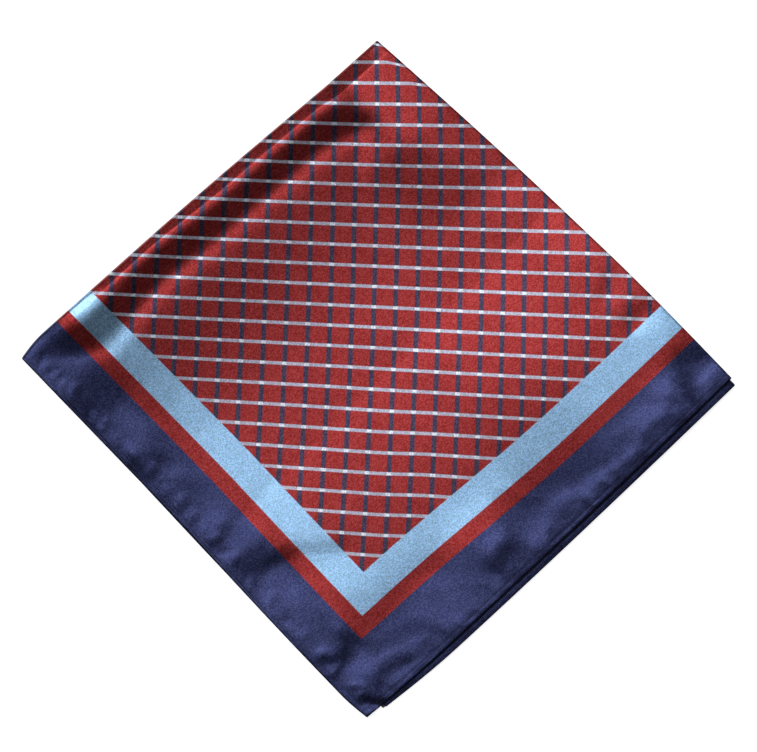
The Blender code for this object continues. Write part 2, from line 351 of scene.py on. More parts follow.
def soft_interp(place, places, heights, softness):
    """Joins heights at given places by lines, and rounds the corners between them."""
    shifts = (-1.5, -1.0, -0.5, 0.0, 0.5, 1.0, 1.5)
    total = sum(np.interp(place + shift * softness, places, heights) for shift in shifts)
    return total / len(shifts)


def wall_height(s, t):
    """How far each place lies below the crest, on the wall beside the second fold."""
    crest = soft_interp(t, CREST_PLACES, CREST_DISTANCES, SWEEP_SOFTNESS)
    share = soft_interp(s / crest, WALL_PLACES, WALL_HEIGHTS, WALL_SOFTNESS)
    fade = soft_interp(t, WALL_FADE_PLACES, WALL_FADES, SWEEP_SOFTNESS)
    return WALL_SLOPE * crest * fade * (share - 1)


def roll_height(s, t):
    """The roll's height above its foot, past the crest."""
    crest = soft_interp(t, CREST_PLACES, CREST_DISTANCES, SWEEP_SOFTNESS)
    foot = soft_interp(t, FOOT_PLACES, FOOT_DISTANCES, SWEEP_SOFTNESS)
    share = (s - crest) / (foot - crest)
    drop = soft_interp(share, DROP_PLACES, DROP_HEIGHTS, DROP_SOFTNESS)
    fade = soft_interp(t, ROLL_FADE_PLACES, ROLL_FADES, SWEEP_SOFTNESS)
    return DROP_SLOPE * (foot - crest) * fade * (1 - drop)


def sweep_height(s, t):
    """The slow fall from the roll to the middle of the cloth, and the rise past it."""
    fall = soft_interp(s, FALL_PLACES, FALL_HEIGHTS, SWEEP_SOFTNESS)
    fall_fade = soft_interp(t, FALL_FADE_PLACES, FALL_FADES, SWEEP_SOFTNESS)
    rise = soft_interp(s, RISE_PLACES, RISE_HEIGHTS, SWEEP_SOFTNESS)
    rise_fade = soft_interp(t, RISE_FADE_PLACES, RISE_FADES, SWEEP_SOFTNESS)
    return FALL_HEIGHT * fall * fall_fade + RISE_HEIGHT * rise * rise_fade


def large_relief(s, t):
    """The wall, the roll and the sweep, and the strip beside the first fold."""
    strip = soft_interp(s, STRIP_PLACES, STRIP_HEIGHTS, SWEEP_SOFTNESS)
    droop = soft_interp(s, DROOP_PLACES, DROOP_HEIGHTS, SWEEP_SOFTNESS)
    strip = strip - droop * np.clip(1 - t / DROOP_WIDTH, 0, 1) ** 2
    start = soft_interp(s, STRIP_END_PLACES, STRIP_ENDS_FROM, SWEEP_SOFTNESS)
    end = soft_interp(s, STRIP_END_PLACES, STRIP_ENDS_TO, SWEEP_SOFTNESS)
    past_strip = smooth_step((t - start) / (end - start))
    beyond = roll_height(s, t) + sweep_height(s, t)
    return blend(strip, beyond, past_strip) + wall_height(s, t)


def waves(s, t, lengths, seed):
    """A sum of seeded waves in all directions, about 1 high at the most."""
    draw = random.Random(seed)
    total = np.zeros_like(s)
    for _ in range(WAVE_COUNT):
        turn = draw.uniform(0, 2 * math.pi)
        pace = 2 * math.pi / draw.uniform(*lengths)
        phase = draw.uniform(0, 2 * math.pi)
        total = total + np.sin((s * math.cos(turn) + t * math.sin(turn)) * pace + phase)
    return total / math.sqrt(2 * WAVE_COUNT)


def crease_height(crease, s, t):
    """The height of one crease."""
    start = np.array(crease.start, dtype=float)
    span = np.array(crease.end, dtype=float) - start
    length = np.linalg.norm(span)
    sideways = np.array([span[1], -span[0]]) / length
    from_start = np.stack([s, t], axis=-1) - start
    along = from_start @ span / length
    past_end = np.maximum(np.maximum(-along, along - length), 0) / crease.fade
    across = from_start @ sideways
    across = across / np.where(across < 0, crease.widths[0], crease.widths[1])
    return crease.height * np.exp(-(across**2) - past_end**2)


def hem_puckers():
    """The short ridges along the two hems, uneven as a hand-fed hem is."""
    draw = random.Random(SEED)
    puckers = []
    for hem, height in PUCKER_HEIGHT.items():
        place = PUCKER_PITCH
        while place < HALF_SIDE - PUCKER_PITCH / 2:
            lean = draw.uniform(-PUCKER_LEAN, PUCKER_LEAN)
            depth = draw.choice(PUCKER_DEPTHS) * draw.uniform(*PUCKER_DEPTH_SPREAD) * height
            near, far = (HALF_SIDE - inset for inset in PUCKER_INSETS[hem])
            start, end = (place, near), (place + lean, far)
            if hem == "right hem":
                start, end = start[::-1], end[::-1]
            widths = (PUCKER_HALF_WIDTH, PUCKER_HALF_WIDTH)
            puckers.append(Crease(start, end, widths, depth, PUCKER_HALF_WIDTH))
            place += PUCKER_PITCH + draw.uniform(-PUCKER_UNEVENNESS, PUCKER_UNEVENNESS)
    return puckers


def relief(s, t):
    """How far the top layer rises above the flat fold."""
    s, t = np.abs(s), np.abs(t)
    far = np.maximum(s, t)
    wander_s = s + WANDER * waves(s, t, WANDER_LENGTHS, SEED + 2)
    wander_t = t + WANDER * waves(s, t, WANDER_LENGTHS, SEED + 3)
    creases = np.zeros_like(s)
    for crease in [*CREASES.values(), *hem_puckers()]:
        creases = creases + crease_height(crease, wander_s, wander_t)
    calm = blend(HEM_CALM, 1.0, smooth_step((HALF_SIDE - t) / HEM_CALM_WIDTH))
    in_border = smooth_step((far - BORDER_START) / (HALF_SIDE - BORDER_START) * 2)
    wave_height = blend(WAVE_HEIGHT, BORDER_WAVE_HEIGHT, in_border)
    uneven = wave_height * waves(s, t, WAVE_LENGTHS, SEED + 4)
    height = RESTING_RELIEF + large_relief(s, t) + creases * calm + uneven
    return (height + np.sqrt(height**2 + RELIEF_SOFTNESS**2)) / 2


def middle_surface(s, t):
    """The middle of the sheet, in metres, at places s and t on the cloth."""
    down_along, offset = first_fold(t)
    right_along, level, upper = second_fold(s, offset)
    outer = 0.5 + offset / LAYER_SPACING

    right_length = HALF_SIDE - (SECOND_FOLD_RADIUS + offset) * QUARTER_TURN + SECOND_FOLD_REACH
    down_length = HALF_SIDE - FIRST_FOLD_RADIUS * QUARTER_TURN + FIRST_FOLD_REACH
    right = (right_along + SECOND_FOLD_REACH) / right_length
    down = (down_along + FIRST_FOLD_REACH) / down_length
    flat = footprint(right, down, upper, outer)

    stack = STACK_HEIGHT / 2 + level
    at_hem = smooth_step((np.abs(s) - LOWER_LIFT_FROM) / (HALF_SIDE - LOWER_LIFT_FROM))
    lifted = blend(LOWER_LIFT * at_hem, 1.0, smooth_step(stack / STACK_HEIGHT))
    height = LOWEST_HEIGHT + stack + lifted * relief(s, t)
    return np.concatenate([flat, height[..., None]], axis=-1) * MM


def normals(s, t):
    """The unit normal of the middle surface, on the printed side."""
    across = middle_surface(s + NORMAL_STEP, t) - middle_surface(s - NORMAL_STEP, t)
    down = middle_surface(s, t + NORMAL_STEP) - middle_surface(s, t - NORMAL_STEP)
    normal = np.cross(down, across)
    return normal / np.linalg.norm(normal, axis=-1, keepdims=True)


def hem_inset(s, t):
    """How far each place is from the nearest hemmed edge."""
    return HALF_SIDE - np.maximum(np.abs(s), np.abs(t))


def printed_height(s, t):
    """The printed side's distance from the middle of the sheet, with the hem's groove and roll."""
    inset = hem_inset(s, t)
    groove = np.exp(-(((inset - HEM_WIDTH) / STITCH_GROOVE_HALF_WIDTH) ** 2))
    rolled = np.clip(1 - inset / ROLLED_EDGE_WIDTH, 0, 1) ** 2
    return SHEET_THICKNESS / 2 - STITCH_GROOVE_DEPTH * groove - ROLLED_EDGE_DROP * rolled


def back_depth(s, t):
    """The back's distance from the middle of the sheet, where the hem is turned under."""
    inset = hem_inset(s, t)
    turned = smooth_step((HEM_WIDTH + HEM_STEP_WIDTH - inset) / HEM_STEP_WIDTH)
    return SHEET_THICKNESS / 2 + HEM_EXTRA_THICKNESS * turned


def spread(start, end, widest):
    """Evenly spaced lines from just past start up to end, no further apart than widest."""
    count = math.ceil((end - start) / widest)
    return [start + (end - start) * (i + 1) / count for i in range(count)]


def fold_lines(turn_end, segments):
    """Grid lines across a fold, evenly over its turn."""
    return [turn_end * (2 * i / segments - 1) for i in range(segments + 1)]


def hem_lines():
    """Grid lines across the hem, ending at the cloth's edge."""
    hem_start = HALF_SIDE - HEM_WIDTH - HEM_STEP_WIDTH - 2 * FINE_STEP
    return hem_start, spread(hem_start, HALF_SIDE, FINE_STEP)


def under_lines(turn_end):
    """Grid lines of the layers that lie under the top one, from the fold to the edge."""
    hem_foot = HALF_SIDE - HEM_WIDTH - HEM_STEP_WIDTH
    lines = spread(turn_end, hem_foot, UNDER_STEP)
    return lines + [HALF_SIDE - HEM_WIDTH, HALF_SIDE - ROLLED_EDGE_WIDTH, HALF_SIDE]


def grid_lines(turn_end, segments, parts):
    """All grid lines from one hem to the other. parts are (end, widest step) on the top layer."""
    upper = []
    start = turn_end
    for end, widest in parts:
        upper += spread(start, end, widest)
        start = end
    under = [-line for line in reversed(under_lines(turn_end))]
    return np.array(under + fold_lines(turn_end, segments) + upper)


def sheet_faces(rows, columns):
    """Faces over the printed grid, over the back grid that follows it, and around the rim."""
    printed = np.arange(rows * columns).reshape(rows, columns)
    back = printed + rows * columns
    first, below = printed[:-1, :-1], printed[1:, :-1]
    across, right = printed[1:, 1:], printed[:-1, 1:]
    top_faces = np.stack([right, across, below, first], axis=-1).reshape(-1, 4)
    back_faces = top_faces[:, ::-1] + rows * columns
    rim = [(i, 0) for i in range(rows)]
    rim += [(rows - 1, j) for j in range(1, columns)]
    rim += [(i, columns - 1) for i in range(rows - 2, -1, -1)]
    rim += [(0, j) for j in range(columns - 2, 0, -1)]
    rim_faces = [
        [int(printed[here]), int(printed[there]), int(back[there]), int(back[here])]
        for here, there in zip(rim, rim[1:] + rim[:1])
    ]
    return top_faces.tolist(), back_faces.tolist(), rim_faces


def add_uv(mesh, name, corners):
    """Adds a UV map from one pair for each face corner."""
    layer = mesh.uv_layers.new(name=name)
    layer.data.foreach_set("uv", np.asarray(corners, dtype=np.float32).ravel())


def cloth_uv(s, t):
    """Where places on the cloth fall in its UV map: the whole cloth fills the square."""
    return np.stack([0.5 + s / (2 * HALF_SIDE), 0.5 + t / (2 * HALF_SIDE)], axis=-1)


# The baking map: the printed side, the back, and the rim as a strip below them
BAKE_MARGIN = 0.01
BAKE_PRINTED_WIDTH = 0.64
BAKE_BACK_WIDTH = 0.32
BAKE_RIM_HEIGHT = 0.02


def bake_uv(flat_uv, face_count, rim_count):
    """The baking map's face corners, from each grid place in the cloth's own map."""
    side_height = 1 - 3 * BAKE_MARGIN - BAKE_RIM_HEIGHT
    low = 2 * BAKE_MARGIN + BAKE_RIM_HEIGHT
    printed = flat_uv[:face_count] * [BAKE_PRINTED_WIDTH, side_height] + [BAKE_MARGIN, low]
    back_start = 2 * BAKE_MARGIN + BAKE_PRINTED_WIDTH
    back = flat_uv[face_count : 2 * face_count] * [BAKE_BACK_WIDTH, side_height]
    back = back + [back_start, low]
    here = np.arange(rim_count) / rim_count
    there = here + 1 / rim_count
    top = np.full(rim_count, BAKE_MARGIN + BAKE_RIM_HEIGHT)
    bottom = np.full(rim_count, BAKE_MARGIN)
    rim = np.stack(
        [
            np.stack([here, top], axis=-1),
            np.stack([there, top], axis=-1),
            np.stack([there, bottom], axis=-1),
            np.stack([here, bottom], axis=-1),
        ],
        axis=1,
    )
    rim = rim * [1 - 2 * BAKE_MARGIN, 1] + [BAKE_MARGIN, 0]
    return np.concatenate([printed, back, rim])


def make_cloth(printed_satin, satin_back):
    """The folded sheet as one closed mesh, printed on one side."""
    fold_end = WIDEST_RADIUS * QUARTER_TURN
    hem_start, hem = hem_lines()
    s_parts = [
        (WALL_END, WALL_STEP),
        (ROLL_END, CLOSE_STEP),
        (BORDER_START, OPEN_STEP),
        (hem_start, CLOSE_STEP),
    ]
    t_parts = [(FIRST_STRIP, CLOSE_STEP), (BORDER_START, DOWN_STEP), (hem_start, CLOSE_STEP)]
    s_lines = grid_lines(fold_end, SECOND_FOLD_SEGMENTS, s_parts)
    t_lines = grid_lines(FIRST_FOLD_RADIUS * QUARTER_TURN, FIRST_FOLD_SEGMENTS, t_parts)
    s_lines = np.concatenate([s_lines, hem])
    t_lines = np.concatenate([t_lines, hem])
    s, t = np.meshgrid(s_lines, t_lines, indexing="ij")
    middle = middle_surface(s, t)
    normal = normals(s, t)
    printed = middle + normal * printed_height(s, t)[..., None] * MM
    back = middle - normal * back_depth(s, t)[..., None] * MM
    points = np.concatenate([printed.reshape(-1, 3), back.reshape(-1, 3)])

    top_faces, back_faces, rim_faces = sheet_faces(*s.shape)
    faces = top_faces + back_faces + rim_faces
    mesh = bpy.data.meshes.new("folded_cloth")
    mesh.from_pydata(points.tolist(), [], faces)

    flat_uv = np.tile(cloth_uv(s, t).reshape(-1, 2), (2, 1))
    corners = flat_uv[np.array(faces)]
    add_uv(mesh, "cloth", corners)
    add_uv(mesh, "OFBake", bake_uv(corners, len(top_faces), len(rim_faces)))

    mesh.materials.append(printed_satin)
    mesh.materials.append(satin_back)
    sides = [0] * len(top_faces) + [1] * len(back_faces) + [0] * len(rim_faces)
    mesh.polygons.foreach_set("material_index", sides)
    mesh.shade_smooth()
    mesh.set_sharp_from_angle(angle=SMOOTH_SHADING_LIMIT)
    return link_object("folded_cloth", mesh)


def link_object(name, data):
    """Puts a new object in the scene."""
    obj = bpy.data.objects.new(name, data)
    bpy.context.scene.collection.objects.link(obj)
    return obj


# The hem's stitches, in mm
STITCH_PITCH = 2.8
STITCH_LENGTH = 2.1
STITCH_HALF_WIDTH = 0.2
STITCH_HEIGHT = 0.12
STITCH_WANDER = 0.12
STITCH_SHOULDER = 0.3
STITCH_END_WIDTH = 0.4
STITCH_END_DEPTH = 0.04
STITCH_SINK = 0.03


def stitch_places():
    """The middle of each stitch and the direction along its hem, on all four sides."""
    draw = random.Random(SEED + 1)
    line = HALF_SIDE - HEM_WIDTH
    count = int(2 * line / STITCH_PITCH)
    places = []
    for side in (-1, 1):
        for i in range(count):
            along = -line + (i + 0.5) * 2 * line / count
            across = side * (line + draw.uniform(-STITCH_WANDER, STITCH_WANDER))
            places.append(((along, across), (1, 0)))
            places.append(((across, along), (0, 1)))
    return places


def stitch_sections(half_length):
    """A stitch's sections: how far along it, half its width, and its rise."""
    shoulder = half_length * (1 - STITCH_SHOULDER)
    return [
        (-half_length, STITCH_HALF_WIDTH * STITCH_END_WIDTH, -STITCH_END_DEPTH),
        (-shoulder, STITCH_HALF_WIDTH, STITCH_HEIGHT),
        (shoulder, STITCH_HALF_WIDTH, STITCH_HEIGHT),
        (half_length, STITCH_HALF_WIDTH * STITCH_END_WIDTH, -STITCH_END_DEPTH),
    ]


def make_stitches(thread):
    """All the hem's stitches on both sides of the cloth, as one mesh."""
    places, directions = zip(*stitch_places())
    centre = np.array(places, dtype=float)
    along = np.array(directions, dtype=float)
    across = along[:, ::-1]
    points = []
    for face_side in (1, -1):
        for distance, half_width, rise in stitch_sections(STITCH_LENGTH / 2):
            for sideways, lift in ((-1, 0.0), (0, 1.0), (1, 0.0)):
                place = centre + along * distance + across * half_width * sideways
                s, t = place[:, 0], place[:, 1]
                depth = printed_height(s, t) if face_side > 0 else back_depth(s, t)
                out = face_side * (depth + rise * lift - STITCH_SINK)
                points.append(middle_surface(s, t) + normals(s, t) * out[:, None] * MM)
    per_side = len(points) // 2
    points = np.array(points).transpose(1, 0, 2)
    stitch_count = points.shape[0]

    faces = []
    for stitch in range(stitch_count):
        for half in (0, 1):
            base = stitch * 2 * per_side + half * per_side
            for ring in range(per_side // 3 - 1):
                for edge in (0, 1, 2):
                    a = base + ring * 3 + edge
                    b = base + ring * 3 + (edge + 1) % 3
                    face = [a, b, b + 3, a + 3]
                    faces.append(face if half == 0 else face[::-1])
            for cap in ([base + 2, base + 1, base], [base + per_side - 3 + i for i in range(3)]):
                faces.append(cap if half == 0 else cap[::-1])
    mesh = bpy.data.meshes.new("hem_stitches")
    mesh.from_pydata(points.reshape(-1, 3).tolist(), [], faces)
    mesh.materials.append(thread)
    return link_object("hem_stitches", mesh)


# The print, in mm on the cloth
BAND_BLUE_FROM = 199.5
BAND_RED_FROM = 215.0
BAND_NAVY_FROM = 223.3
BAND_EDGE_SOFTNESS = 0.2
PRINT_DRIFT_LEAST = 1.0
PRINT_DRIFT_MOST = 4.9
PRINT_DRIFT_FROM = 70.0
PRINT_DRIFT_TO = 200.0
COLUMN_HALF_WIDTH = 1.12
ROW_HALF_WIDTH = 0.86
LINE_SOFTNESS = 0.22
COLUMN_PITCH = 10.23
ROW_PITCH = 11.11
ROW_SHIFT = -0.23
BIAS_LENGTH = 283.0
COLUMN_FAN = -1.84
COLUMN_BEND = 0.84
COLUMN_CURVE = 0.42
ROW_GATHER = 1.11
ROW_FAN = -1.28
ROW_SAG = -0.59
ROW_TILT = 0.17
TIP_ROW_LIFT = 0.09
TIP_ROWS_TO = 50.0
LAST_ROW_DROP = 0.09
LAST_ROWS_FROM = 170.0
LAST_ROWS_TO = 230.0
LAST_ROWS_WIDTH = 30.0
ROW_CURL = 0.2
ROW_CURL_START = -1.0
ROW_CURL_WIDTH = 6.0
ROW_CURL_FROM = 15.0
ROW_CURL_TO = 55.0

# The print's colours, linear
RED = (0.265, 0.0195, 0.019, 1)
NAVY = (0.027, 0.034, 0.112, 1)
PALE_BLUE = (0.28, 0.48, 0.72, 1)
COLUMN_NAVY = (0.040, 0.030, 0.066, 1)
LINE_BLUE = (0.445, 0.44, 0.56, 1)
WHITE = (0.76, 0.79, 0.92, 1)
THREAD_NAVY = (0.02, 0.022, 0.06, 1)
BACK_GREY = (0.20, 0.19, 0.22, 1)


class Field:
    """A number that varies over the cloth, as a node's output that can be used in sums."""

    def __init__(self, graph, socket):
        self.graph = graph
        self.socket = socket

    def combine(self, operation, first, second):
        return self.graph.math(operation, first, second)

    def __add__(self, other):
        return self.combine("ADD", self, other)

    def __sub__(self, other):
        return self.combine("SUBTRACT", self, other)

    def __rsub__(self, other):
        return self.combine("SUBTRACT", other, self)

    def __mul__(self, other):
        return self.combine("MULTIPLY", self, other)

    def __abs__(self):
        return self.combine("ABSOLUTE", self, 0.0)

    __radd__ = __add__
    __rmul__ = __mul__


class Graph:
    """Builds one material's nodes. Inputs are numbers, colours or fields."""

    def __init__(self, name):
        self.material = bpy.data.materials.new(name)
        self.material.use_nodes = True
        self.tree = self.material.node_tree
        self.shader = self.tree.nodes["Principled BSDF"]

    def feed(self, socket, value):
        if isinstance(value, Field):
            self.tree.links.new(value.socket, socket)
        else:
            socket.default_value = value

    def node(self, kind, inputs, **settings):
        made = self.tree.nodes.new(kind)
        for name, value in settings.items():
            setattr(made, name, value)
        for name, value in inputs.items():
            self.feed(made.inputs[name], value)
        return made

    def math(self, operation, first, second):
        made = self.node("ShaderNodeMath", {0: first, 1: second}, operation=operation)
        return Field(self, made.outputs[0])

    def larger(self, first, second):
        return self.math("MAXIMUM", first, second)

    def rising(self, value, start, end):
        """Eases from 0 to 1 as the value goes from start to end."""
        inputs = {"Value": value, "From Min": start, "From Max": end}
        made = self.node("ShaderNodeMapRange", inputs, interpolation_type="SMOOTHSTEP")
        return Field(self, made.outputs["Result"])

    def beyond(self, value, edge, softness):
        """1 where the value is past the edge."""
        return self.rising(value, edge - softness, edge + softness)

    def cloth_places(self):
        """s and t in mm."""
        uv = self.node("ShaderNodeUVMap", {}, uv_map="cloth")
        parts = self.node("ShaderNodeSeparateXYZ", {"Vector": Field(self, uv.outputs["UV"])})
        side = 2 * HALF_SIDE
        s = (Field(self, parts.outputs["X"]) - 0.5) * side
        t = (Field(self, parts.outputs["Y"]) - 0.5) * side
        return s, t

    def place(self, s, t):
        made = self.node("ShaderNodeCombineXYZ", {"X": s, "Y": t})
        return Field(self, made.outputs["Vector"])

    def noise(self, place, scale, detail=2.0):
        inputs = {"Vector": place, "Scale": scale, "Detail": detail}
        made = self.node("ShaderNodeTexNoise", inputs)
        return Field(self, made.outputs["Fac"])

    def random(self, place):
        """A random number that is the same all over each whole place."""
        made = self.node("ShaderNodeTexWhiteNoise", {"Vector": place}, noise_dimensions="3D")
        return Field(self, made.outputs["Value"])

    def mix(self, first, second, share):
        made = self.node("ShaderNodeMix", {0: share, 6: first, 7: second}, data_type="RGBA")
        return Field(self, made.outputs[2])

    def scale_colour(self, colour, factor):
        grey = self.node("ShaderNodeCombineColor", {"Red": factor, "Green": factor, "Blue": factor})
        made = self.node(
            "ShaderNodeMix",
            {0: 1.0, 6: colour, 7: Field(self, grey.outputs["Color"])},
            data_type="RGBA",
            blend_type="MULTIPLY",
        )
        return Field(self, made.outputs[2])

    def bump(self, height, distance, strength=1.0):
        made = self.node(
            "ShaderNodeBump", {"Height": height, "Distance": distance, "Strength": strength}
        )
        return Field(self, made.outputs["Normal"])

    def finish(self, **inputs):
        for name, value in inputs.items():
            self.feed(self.shader.inputs[name.replace("_", " ")], value)
        return self.material


def near_line(graph, count, pitch, half_width):
    """1 on the lines where a count is whole, each of that half width."""
    away = abs(graph.math("FRACT", count + 0.5, 0.0) - 0.5) * pitch
    return 1.0 - graph.beyond(away, half_width, LINE_SOFTNESS)


def print_colour(graph, s, t):
    """The printed pattern, a check inside blue, red and navy bands, and where its rows are."""
    across = (s - t) * (1 / math.sqrt(2))
    down = (s + t) * (1 / math.sqrt(2))
    stretch = 1 / BIAS_LENGTH**2
    column = across * (1 / COLUMN_PITCH) + across * down * (COLUMN_FAN * stretch)
    column = column + across * across * (COLUMN_BEND * stretch)
    column = column + down * down * (COLUMN_CURVE * stretch)
    row = down * (1 / ROW_PITCH) + across * down * (ROW_FAN * stretch)
    row = row + across * across * (ROW_SAG * stretch) + down * down * (ROW_GATHER * stretch)
    row = row + across * (ROW_TILT / BIAS_LENGTH) + ROW_SHIFT
    row = row + (1.0 - graph.rising(down, 0.0, TIP_ROWS_TO)) * TIP_ROW_LIFT
    left_rows = 1.0 - graph.rising(across, 0.0, LAST_ROWS_WIDTH)
    row = row - graph.rising(down, LAST_ROWS_FROM, LAST_ROWS_TO) * left_rows * LAST_ROW_DROP
    by_first_fold = 1.0 - graph.rising(t, ROW_CURL_START, ROW_CURL_WIDTH)
    near_tip = 1.0 - graph.rising(s, ROW_CURL_FROM, ROW_CURL_TO)
    row = row - by_first_fold * near_tip * ROW_CURL

    on_column = near_line(graph, column, COLUMN_PITCH, COLUMN_HALF_WIDTH)
    on_row = near_line(graph, row, ROW_PITCH, ROW_HALF_WIDTH)
    line_colour = graph.mix(LINE_BLUE, WHITE, on_column)
    check = graph.mix(graph.mix(RED, COLUMN_NAVY, on_column), line_colour, on_row)

    drift = graph.rising(abs(t), PRINT_DRIFT_FROM, PRINT_DRIFT_TO)
    drift = drift * (PRINT_DRIFT_MOST - PRINT_DRIFT_LEAST) + PRINT_DRIFT_LEAST
    place = graph.larger(abs(s) + drift, abs(t))
    in_blue = graph.beyond(place, BAND_BLUE_FROM, BAND_EDGE_SOFTNESS)
    in_red = graph.beyond(place, BAND_RED_FROM, BAND_EDGE_SOFTNESS)
    in_navy = graph.beyond(place, BAND_NAVY_FROM, BAND_EDGE_SOFTNESS)
    colour = graph.mix(check, PALE_BLUE, in_blue)
    colour = graph.mix(colour, RED, in_red)
    colour = graph.mix(colour, NAVY, in_navy)
    return colour, on_row * (1.0 - in_blue)


# The satin's surface. Each small cell is a glint of a few threads, painted into the colour as a
# lighter, darker or whiter cell, and its roughness varies with it
GLINT_WIDTH = 0.33
GLINT_LENGTH = 0.55
PAINTED_GLINT_SHADE = 0.7
PAINTED_GLINT_SHINE = 0.026
PAINTED_GLINT_WHITE = (0.8, 0.82, 0.9, 1)
CLOUD_SCALE = 0.05
CLOUD_STRENGTH = 0.16
WEAVE_SCALE = 4.0
SATIN_ROUGHNESS = 0.34
ROUGHNESS_SPREAD = 0.08
SATIN_METALLIC = 0.9
ROW_METALLIC = 0.55
WEAVE_RELIEF = 0.05 * MM
# Painted shade that darkens the last mm of each hemmed edge, where the cloth turns down
EDGE_SHADE_WIDTH = 0.9
EDGE_SHADE_FULL = 0.2
EDGE_SHADE = 0.4
# Painted shade along the turn of the second fold, darkening its rim
FOLD_SHADE_FULL = 0.2
FOLD_SHADE_WIDTH = 1.6
FOLD_SHADE = 0.5
# The share of the painted edge shade and painted hem shadow that the lower pair keeps
LOWER_PAIR_SHADE = 0.35
# A painted shadow line along the hem, just outside its stitches, showing in patches where the
# clouds are high
HEM_SHADOW_INSET = 1.9
HEM_SHADOW_FULL = 0.2
HEM_SHADOW_WIDTH = 0.8
HEM_SHADOW_STRENGTH = 0.45
HEM_SHADOW_CLOUDS = (0.3, 0.6)
PAINTED_SHINE_FROM = 0.3

# The unprinted side
FADED = 0.4
BACK_ROUGHNESS = 0.55
BACK_METALLIC = 0.25
BACK_RELIEF = 0.08 * MM

# The thread
TWIST_SCALE = 2500.0
THREAD_ROUGHNESS = 0.5
TWIST_RELIEF = 0.05 * MM


def satin_colour(graph, s, t, colour):
    """The print with painted glints, soft clouds and painted shade along the hemmed edges, the
    hem's stitch line and the second fold, and the glints themselves.
    """
    # Painted glints: each cell's colour is made lighter or darker at random, as threads catching
    # the light would look
    cell_s = graph.math("FLOOR", s * (1 / GLINT_WIDTH), 0.0)
    cell_t = graph.math("FLOOR", t * (1 / GLINT_LENGTH), 0.0)
    glint = graph.random(graph.place(cell_s, cell_t))
    cloud = graph.noise(graph.place(s, t), CLOUD_SCALE)
    factor = (glint - 0.5) * PAINTED_GLINT_SHADE + (cloud - 0.5) * CLOUD_STRENGTH + 1.0
    # Painted shade along the hemmed edges
    far = graph.larger(abs(s), abs(t))
    edge = graph.rising(far, HALF_SIDE - EDGE_SHADE_WIDTH, HALF_SIDE - EDGE_SHADE_FULL)
    edge = edge * (1 - EDGE_SHADE)
    # Painted shade along the second fold's turn
    fold = 1.0 - graph.rising(abs(s), FOLD_SHADE_FULL, FOLD_SHADE_WIDTH)
    fold = fold * (1 - FOLD_SHADE)
    # A painted shadow line just outside the hem's stitches, in patches
    from_line = abs(far - (HALF_SIDE - HEM_SHADOW_INSET))
    line = 1.0 - graph.rising(from_line, HEM_SHADOW_FULL, HEM_SHADOW_WIDTH)
    line = line * graph.rising(cloud, *HEM_SHADOW_CLOUDS) * (1 - HEM_SHADOW_STRENGTH)
    # The lower pair keeps only part of this painted shade
    on_top = graph.rising(s, -1.0, 1.0) * (1 - LOWER_PAIR_SHADE) + LOWER_PAIR_SHADE
    shade = 1.0 - graph.larger(graph.larger(edge, line) * on_top, fold)
    # Painted glints: some cells are tinted towards white, a painted highlight
    painted_shine = graph.rising(glint, PAINTED_SHINE_FROM, 1.0) * PAINTED_GLINT_SHINE
    with_painted_shine = graph.mix(colour, PAINTED_GLINT_WHITE, painted_shine)
    return graph.scale_colour(with_painted_shine, factor * shade), glint


def printed_satin():
    """The printed side: coloured gloss that follows the folds, with a fine uneven grain of painted
    glints, painted shade at the edges and the hem, and a bumped weave.
    """
    graph = Graph("printed_satin")
    s, t = graph.cloth_places()
    printed, on_row = print_colour(graph, s, t)
    colour, glint = satin_colour(graph, s, t, printed)
    weave = graph.noise(graph.place(s, t), WEAVE_SCALE, detail=1.0)
    return graph.finish(
        Base_Color=colour,
        Roughness=glint * ROUGHNESS_SPREAD + (SATIN_ROUGHNESS - ROUGHNESS_SPREAD / 2),
        Metallic=on_row * (ROW_METALLIC - SATIN_METALLIC) + SATIN_METALLIC,
        Normal=graph.bump(weave, WEAVE_RELIEF),
    )


def satin_back():
    """The unprinted side, where the colours show through paler and duller."""
    graph = Graph("satin_back")
    s, t = graph.cloth_places()
    printed, _ = print_colour(graph, s, t)
    faded = graph.mix(printed, BACK_GREY, FADED)
    colour, glint = satin_colour(graph, s, t, faded)
    weave = graph.noise(graph.place(s, t), WEAVE_SCALE, detail=1.0)
    return graph.finish(
        Base_Color=colour,
        Roughness=glint * ROUGHNESS_SPREAD + BACK_ROUGHNESS,
        Metallic=BACK_METALLIC,
        Normal=graph.bump(weave, BACK_RELIEF),
    )


def hem_thread():
    """Navy polyester thread with a fine twist."""
    graph = Graph("hem_thread")
    coordinates = graph.node("ShaderNodeTexCoord", {})
    place = Field(graph, coordinates.outputs["Object"])
    twist = graph.noise(place, TWIST_SCALE)
    return graph.finish(
        Base_Color=graph.scale_colour(THREAD_NAVY, twist + 0.5),
        Roughness=THREAD_ROUGHNESS,
        Normal=graph.bump(twist, TWIST_RELIEF),
    )


# The floor. From here on, sizes without a unit in their name are in metres
FLOOR_SIZE = 3.0
FLOOR_GREY = (0.86, 0.86, 0.86, 1)
FLOOR_GLOW = 0.85
FLOOR_ROUGHNESS = 0.9
FLOOR_GRAIN_SCALE = 60.0
FLOOR_GRAIN = 0.04

# The surroundings, from the sine of the height above the horizon
OVERHEAD_GREY = 0.028
HORIZON_GREY = 0.22
HORIZON_FROM = 0.25
HORIZON_TO = 0.6

# The softboxes
KEY_DISTANCE = 9.0
KEY_SIZE = 4.5
KEY_TILT = math.radians(19.8)
KEY_POWER = 325.0
KEY_DIRECTION = (-0.64, 1.0)
FILL_PLACE = (1.2, -1.0, 1.6)
FILL_POWER = 0.5
FILL_SIZE = 2.0

